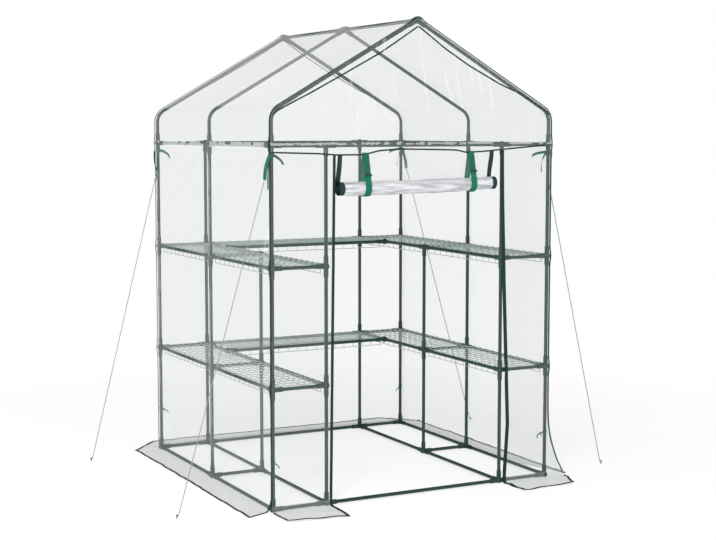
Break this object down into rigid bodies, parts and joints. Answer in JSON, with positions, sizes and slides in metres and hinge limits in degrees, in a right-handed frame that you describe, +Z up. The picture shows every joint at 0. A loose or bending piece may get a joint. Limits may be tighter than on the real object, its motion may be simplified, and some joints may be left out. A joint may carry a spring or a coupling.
{
  "type": "walk-in plastic greenhouse",
  "caption": "Walk-in greenhouse with a clear plastic cover over a green steel tube frame, wire shelves along the sides and back, a rolled-up door, ground flaps and guy ropes.",
  "frame": {"origin": "on the ground at the middle of the plan", "axes": "+X to the right along the front, +Y from the door to the back, +Z up"},
  "size_m": [2.231, 1.8032, 2.1433],
  "materials": {
    "green_steel_tube": "satin powder coat",
    "green_connector_plastic": "moulded",
    "coated_shelf_wire": "plastic coated",
    "clear_film": "soft clear film",
    "dark_zip_tape": "woven",
    "green_webbing": "woven",
    "grey_rope": "braided"
  },
  "bodies": {
    "root": {"left_outer_posts": "green_steel_tube", "left_inner_posts": "green_steel_tube", "right_inner_posts": "green_steel_tube", "right_outer_posts": "green_steel_tube", "ground_rails": "green_steel_tube", "lower_shelf_rails": "green_steel_tube", "upper_shelf_rails": "green_steel_tube", "eave_rails": "green_steel_tube", "front_arch": "green_steel_tube", "middle_arch": "green_steel_tube", "back_arch": "green_steel_tube", "ridge_rail": "green_steel_tube", "ground_connectors": "green_connector_plastic", "shelf_connectors": "green_connector_plastic", "eave_connectors": "green_connector_plastic", "ridge_connectors": "green_connector_plastic", "lower_left_shelves": "coated_shelf_wire", "lower_right_shelves": "coated_shelf_wire", "lower_back_shelf": "coated_shelf_wire", "lower_shelf_lips": "coated_shelf_wire", "upper_left_shelves": "coated_shelf_wire", "upper_right_shelves": "coated_shelf_wire", "upper_back_shelf": "coated_shelf_wire", "upper_shelf_lips": "coated_shelf_wire", "left_wall_film": "clear_film", "right_wall_film": "clear_film", "back_wall_film": "clear_film", "left_roof_film": "clear_film", "right_roof_film": "clear_film", "front_gable_film": "clear_film", "front_left_film": "clear_film", "front_right_film": "clear_film", "door_sheet": "clear_film", "door_roll": "clear_film", "left_skirt": "clear_film", "right_skirt": "clear_film", "back_skirt": "clear_film", "front_left_skirt": "clear_film", "front_right_skirt": "clear_film", "door_straps": "green_webbing", "zip_tapes": "dark_zip_tape", "guy_ropes": "grey_rope", "rope_tabs": "green_webbing", "ground_pegs": "green_connector_plastic"}
  },
  "joints": []
}
